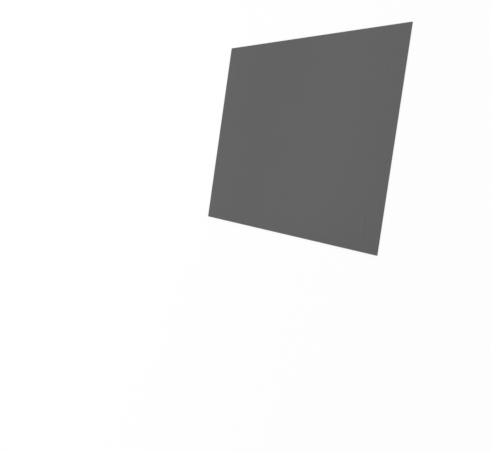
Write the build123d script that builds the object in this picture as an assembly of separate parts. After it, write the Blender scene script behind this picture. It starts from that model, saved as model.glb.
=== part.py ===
from build123d import *
import os

# A privacy filter is one flat sheet of dark see-through film, die-cut to cover a laptop's screen.
# It lies on its screen side, with the origin at the middle of that face.
# X runs along the width, Y up the height and Z out of the front. Sizes are in millimetres.

# Cut size, which is the visible area of a 15.4 inch screen with sides of 16 to 10
SHEET_WIDTH = 331.0
SHEET_HEIGHT = 207.0

# Thickness of the bonded film
SHEET_THICKNESS = 0.5

# Corners that the cutting die leaves
CORNER_RADIUS = 0.8

# The die enters from the front, so the front edge rolls over and the screen edge stays square
FRONT_EDGE_ROUND = 0.12


def cut_outline():
    """The flat outline of the cut: a rectangle with small rounded corners."""
    return RectangleRounded(SHEET_WIDTH, SHEET_HEIGHT, CORNER_RADIUS)


def front_face(sheet):
    """The face that looks at the person who reads the screen."""
    return sheet.faces().sort_by(Axis.Z)[-1]


def filter_sheet():
    """The whole filter: the outline at full thickness, with its front edge rolled over all round."""
    sheet = extrude(cut_outline(), SHEET_THICKNESS)
    return fillet(front_face(sheet).edges(), FRONT_EDGE_ROUND)


os.makedirs("parts", exist_ok=True)
export_step(filter_sheet(), "parts/filter_sheet.step")
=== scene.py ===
import math

import bpy
from mathutils import Matrix, Vector


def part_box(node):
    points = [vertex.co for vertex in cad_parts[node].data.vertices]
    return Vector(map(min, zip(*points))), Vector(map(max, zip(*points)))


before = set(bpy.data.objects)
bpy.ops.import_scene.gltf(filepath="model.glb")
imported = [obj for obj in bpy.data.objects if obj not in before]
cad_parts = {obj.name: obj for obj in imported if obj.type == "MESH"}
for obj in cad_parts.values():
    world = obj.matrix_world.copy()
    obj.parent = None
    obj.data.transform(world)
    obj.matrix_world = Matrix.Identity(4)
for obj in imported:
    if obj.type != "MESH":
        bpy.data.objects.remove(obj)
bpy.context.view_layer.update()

# Lengths are in metres, in the part's own frame: the sheet lies on its screen side with its front up.
SHEET_BOTTOM, SHEET_TOP = (corner[2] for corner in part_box("filter_sheet"))

# The picture and its lens
PICTURE_WIDTH_PIXELS = 491
FOCAL_LENGTH_PIXELS = 823.0
SENSOR_WIDTH_MM = 36.0

# The camera looks down at the front of the sheet from its right.
# Up in the picture is turned this far from the sheet's own upright.
EYE = Vector((0.734, -0.056, 0.468))
AIM = Vector((-0.072, -0.104, 0.0))
UP_TURN = math.radians(16.1)

# Faint upright lines, where the louvres inside the film are a little uneven
LINES_PER_METRE = 1000.0
LINE_DETAIL = 2.0

# The film's grey, and how solid each of its two faces is, from the palest line to the darkest
GREY_RANGE = (0.025, 0.005)
ALPHA_RANGE = (0.63, 0.73)
FILM_SPECULAR = 0.2

# The front has a satin coat against glare, the back is glossier, and both have a fine grain
FRONT_ROUGHNESS = 0.26
BACK_ROUGHNESS = 0.16
GRAIN_PER_METRE = 3000.0
GRAIN_DETAIL = 2.0
GRAIN_ROUGHNESS = 0.04
GRAIN_HEIGHT = 0.000002

# The slow waves of a thin sheet that lies loose
WAVES_PER_METRE = 14.0
WAVE_DETAIL = 1.0
WAVE_HEIGHT = 0.0009

# Nearly all of a noise texture lies between these values
NOISE_RANGE = (0.3, 0.7)

# The floor just under the sheet, and the share of plain white in it near the sheet and far from it
FLOOR_SIDE = 12.0
FLOOR_DROP = 0.0001
FLOOR_COLOUR = (0.95, 0.95, 0.95, 1.0)
NEAR_RADIUS = 0.6
FAR_RADIUS = 2.0
NEAR_WHITE = 0.6
FAR_WHITE = 1.0

# Light from all round, which is plain white where it is looked at
WHITE = (1.0, 1.0, 1.0, 1.0)
WORLD_LIGHT = 0.92
WORLD_WHITE = 1.0

# A large soft lamp, high up beyond the end of the sheet that is far from the camera
SOFTBOX_SIDE = 1.2
SOFTBOX_PLACE = Vector((-1.25, 0.25, 1.5))
SOFTBOX_WATTS = 6.0


def empty_tree(owner, output_kind):
    """The cleared node tree of a material or a world, and a new output node in it."""
    owner.use_nodes = True
    tree = owner.node_tree
    tree.nodes.clear()
    return tree, tree.nodes.new(output_kind)


def object_place(tree):
    """The coordinates of a point in its object's own frame."""
    return tree.nodes.new("ShaderNodeTexCoord").outputs["Object"]


def noise(tree, place, scale, detail):
    """Noise over the given coordinates."""
    texture = tree.nodes.new("ShaderNodeTexNoise")
    texture.inputs["Scale"].default_value = scale
    texture.inputs["Detail"].default_value = detail
    tree.links.new(place, texture.inputs["Vector"])
    return texture.outputs["Fac"]


def rescale(tree, value, old_range, new_range):
    """A number moved from one range to another."""
    node = tree.nodes.new("ShaderNodeMapRange")
    node.inputs["From Min"].default_value, node.inputs["From Max"].default_value = old_range
    node.inputs["To Min"].default_value, node.inputs["To Max"].default_value = new_range
    tree.links.new(value, node.inputs["Value"])
    return node.outputs["Result"]


def calculate(tree, operation, first, second):
    """Two numbers put together by one operation."""
    node = tree.nodes.new("ShaderNodeMath")
    node.operation = operation
    tree.links.new(first, node.inputs[0])
    tree.links.new(second, node.inputs[1])
    return node.outputs["Value"]


def bump(tree, height, distance, under=None):
    """Relief of the given height, on top of other relief if there is any."""
    node = tree.nodes.new("ShaderNodeBump")
    node.inputs["Distance"].default_value = distance
    tree.links.new(height, node.inputs["Height"])
    if under is not None:
        tree.links.new(under, node.inputs["Normal"])
    return node.outputs["Normal"]


def mix_shaders(tree, share, first, second):
    """Two shaders mixed, with the given share of the second."""
    node = tree.nodes.new("ShaderNodeMixShader")
    tree.links.new(share, node.inputs["Fac"])
    tree.links.new(first, node.inputs[1])
    tree.links.new(second, node.inputs[2])
    return node.outputs["Shader"]


def louvre_lines(tree, across):
    """Noise that changes only across the sheet, so that it makes upright lines."""
    only_across = tree.nodes.new("ShaderNodeCombineXYZ")
    tree.links.new(across, only_across.inputs["X"])
    return noise(tree, only_across.outputs["Vector"], LINES_PER_METRE, LINE_DETAIL)


def film_roughness(tree, height, grain):
    """Satin on the front and glossier on the back, with the grain in both."""
    sides = rescale(tree, height, (SHEET_BOTTOM, SHEET_TOP), (BACK_ROUGHNESS, FRONT_ROUGHNESS))
    uneven = rescale(tree, grain, NOISE_RANGE, (-GRAIN_ROUGHNESS, GRAIN_ROUGHNESS))
    return calculate(tree, "ADD", sides, uneven)


def film_relief(tree, place, grain):
    """The grain on top of the slow waves."""
    waves = noise(tree, place, WAVES_PER_METRE, WAVE_DETAIL)
    return bump(tree, grain, GRAIN_HEIGHT, under=bump(tree, waves, WAVE_HEIGHT))


def film_material():
    """Dark see-through film."""
    material = bpy.data.materials.new("satin_dark_film")
    tree, output = empty_tree(material, "ShaderNodeOutputMaterial")
    film = tree.nodes.new("ShaderNodeBsdfPrincipled")
    film.inputs["Specular IOR Level"].default_value = FILM_SPECULAR
    place = object_place(tree)
    apart = tree.nodes.new("ShaderNodeSeparateXYZ")
    tree.links.new(place, apart.inputs["Vector"])
    lines = louvre_lines(tree, apart.outputs["X"])
    grain = noise(tree, place, GRAIN_PER_METRE, GRAIN_DETAIL)
    tree.links.new(rescale(tree, lines, NOISE_RANGE, GREY_RANGE), film.inputs["Base Color"])
    tree.links.new(rescale(tree, lines, NOISE_RANGE, ALPHA_RANGE), film.inputs["Alpha"])
    tree.links.new(film_roughness(tree, apart.outputs["Z"], grain), film.inputs["Roughness"])
    tree.links.new(film_relief(tree, place, grain), film.inputs["Normal"])
    tree.links.new(film.outputs["BSDF"], output.inputs["Surface"])
    return material


def dress_sheet():
    """Puts the film's material on the sheet."""
    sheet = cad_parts["filter_sheet"]
    sheet.data.materials.clear()
    sheet.data.materials.append(film_material())


def looked_at(tree):
    """1 for what the camera sees, directly, mirrored or through glass, and 0 for what only gives light."""
    path = tree.nodes.new("ShaderNodeLightPath").outputs
    direct_or_mirrored = calculate(tree, "MAXIMUM", path["Is Camera Ray"], path["Is Glossy Ray"])
    return calculate(tree, "MAXIMUM", direct_or_mirrored, path["Is Transmission Ray"])


def floor_whiteness(tree):
    """The share of plain white in the floor, which grows with the distance from the sheet."""
    distance = tree.nodes.new("ShaderNodeVectorMath")
    distance.operation = "LENGTH"
    tree.links.new(object_place(tree), distance.inputs[0])
    radii = (NEAR_RADIUS, FAR_RADIUS)
    return rescale(tree, distance.outputs["Value"], radii, (NEAR_WHITE, FAR_WHITE))


def floor_material():
    """Matt white that takes the sheet's shadow and turns to plain white with distance."""
    material = bpy.data.materials.new("white_floor")
    tree, output = empty_tree(material, "ShaderNodeOutputMaterial")
    matt = tree.nodes.new("ShaderNodeBsdfDiffuse")
    matt.inputs["Color"].default_value = FLOOR_COLOUR
    plain = tree.nodes.new("ShaderNodeEmission")
    plain.inputs["Color"].default_value = WHITE
    share = calculate(tree, "MULTIPLY", floor_whiteness(tree), looked_at(tree))
    floor = mix_shaders(tree, share, matt.outputs["BSDF"], plain.outputs["Emission"])
    tree.links.new(floor, output.inputs["Surface"])
    return material


def add_floor():
    """A wide flat floor under the sheet."""
    half = FLOOR_SIDE / 2
    corners = [(-half, -half, 0), (half, -half, 0), (half, half, 0), (-half, half, 0)]
    mesh = bpy.data.meshes.new("floor")
    mesh.from_pydata(corners, [], [(0, 1, 2, 3)])
    mesh.materials.append(floor_material())
    floor = bpy.data.objects.new("floor", mesh)
    floor.location.z = SHEET_BOTTOM - FLOOR_DROP
    bpy.context.scene.collection.objects.link(floor)


def background(tree, strength):
    """White from all round, of the given strength."""
    node = tree.nodes.new("ShaderNodeBackground")
    node.inputs["Color"].default_value = WHITE
    node.inputs["Strength"].default_value = strength
    return node.outputs["Background"]


def add_world():
    """Even light from all round, plain white where it is looked at."""
    world = bpy.data.worlds.new("studio")
    tree, output = empty_tree(world, "ShaderNodeOutputWorld")
    light = background(tree, WORLD_LIGHT)
    plain = background(tree, WORLD_WHITE)
    tree.links.new(mix_shaders(tree, looked_at(tree), light, plain), output.inputs["Surface"])
    bpy.context.scene.world = world


def add_softbox():
    """A large square lamp, whose soft reflection lies on the film."""
    lamp = bpy.data.lights.new("softbox", "AREA")
    lamp.shape = "SQUARE"
    lamp.size = SOFTBOX_SIDE
    lamp.energy = SOFTBOX_WATTS
    softbox = bpy.data.objects.new("softbox", lamp)
    softbox.location = SOFTBOX_PLACE
    softbox.rotation_euler = (-SOFTBOX_PLACE).to_track_quat("-Z", "Y").to_euler()
    bpy.context.scene.collection.objects.link(softbox)


def add_camera():
    """The camera, at the photograph's angle to the sheet."""
    lens = bpy.data.cameras.new("camera")
    lens.sensor_width = SENSOR_WIDTH_MM
    lens.lens = FOCAL_LENGTH_PIXELS * SENSOR_WIDTH_MM / PICTURE_WIDTH_PIXELS
    forward = (AIM - EYE).normalized()
    sheet_up = Vector((-math.sin(UP_TURN), math.cos(UP_TURN), 0.0))
    right = forward.cross(sheet_up).normalized()
    up = right.cross(forward)
    turn = Matrix((right, up, -forward)).transposed().to_4x4()
    camera = bpy.data.objects.new("camera", lens)
    camera.matrix_world = Matrix.Translation(EYE) @ turn
    bpy.context.scene.collection.objects.link(camera)
    bpy.context.scene.camera = camera


bpy.context.scene.view_settings.view_transform = "Standard"
dress_sheet()
add_floor()
add_world()
add_softbox()
add_camera()
